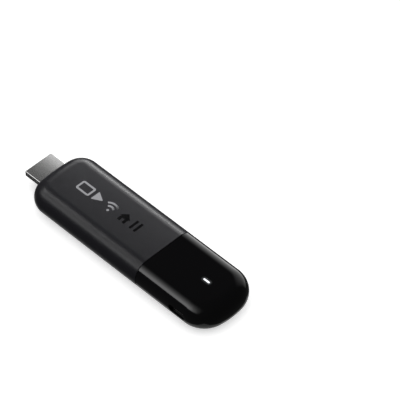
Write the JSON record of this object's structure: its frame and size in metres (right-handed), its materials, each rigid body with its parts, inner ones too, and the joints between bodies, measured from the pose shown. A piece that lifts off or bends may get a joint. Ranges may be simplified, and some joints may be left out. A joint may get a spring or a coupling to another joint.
{
  "type": "streaming media player",
  "caption": "Pocket media stick: a matte sleeve and a glossy rounded tail cap, a video plug at one end, and a power socket and status light near the tail.",
  "frame": {"origin": "centre of the bounding box in plan, on the flat back face the stick lies on", "axes": "+X from the video plug towards the rounded tail, +Y across the stick away from the power socket, +Z out of the front face with the status light"},
  "size_m": [0.1068, 0.03, 0.013],
  "materials": {
    "matte_housing": "fine matte charcoal moulding",
    "gloss_housing": "high-gloss black moulding",
    "plug_steel": "satin nickel plating over stamped steel",
    "plug_moulding": "black moulded liner",
    "gold_contact": "gold flash",
    "carrier_moulding": "dark moulded frame",
    "board_laminate": "green solder mask",
    "screw_steel": "zinc-plated",
    "chip_epoxy": "moulded epoxy package",
    "ferrite": "pressed ferrite",
    "capacitor_ceramic": "tan ceramic",
    "tin_plate": "tin-plated sheet",
    "thermal_pad": "soft silicone pad",
    "spreader_aluminium": "die-cast, as tumbled",
    "light_guide": "frosted clear guide, lit white",
    "led_package": "chip LED package",
    "pictogram_foil": "hot-stamped silver foil"
  },
  "bodies": {
    "root": {"matte_sleeve": "matte_housing", "gloss_cap": "gloss_housing", "plug_collar": "carrier_moulding", "inner_carrier": "carrier_moulding", "hdmi_shell": "plug_steel", "hdmi_insulator": "plug_moulding", "hdmi_contacts": "gold_contact", "main_board": "board_laminate", "carrier_screws": "screw_steel", "processor_chip": "chip_epoxy", "memory_chips": "chip_epoxy", "flash_chip": "chip_epoxy", "power_chip": "chip_epoxy", "power_inductors": "ferrite", "ceramic_capacitors": "capacitor_ceramic", "clock_crystals": "tin_plate", "radio_module": "tin_plate", "tail_antenna": "tin_plate", "side_antenna": "tin_plate", "shield_frame": "tin_plate", "shield_lid": "tin_plate", "processor_pad": "thermal_pad", "lid_pad": "thermal_pad", "flash_pad": "thermal_pad", "front_heat_spreader": "spreader_aluminium", "back_heat_spreader": "spreader_aluminium", "usb_shell": "plug_steel", "usb_tongue": "plug_moulding", "usb_contacts": "gold_contact", "status_led": "led_package", "light_pipe": "light_guide", "emblem_foil": "pictogram_foil"}
  },
  "joints": []
}
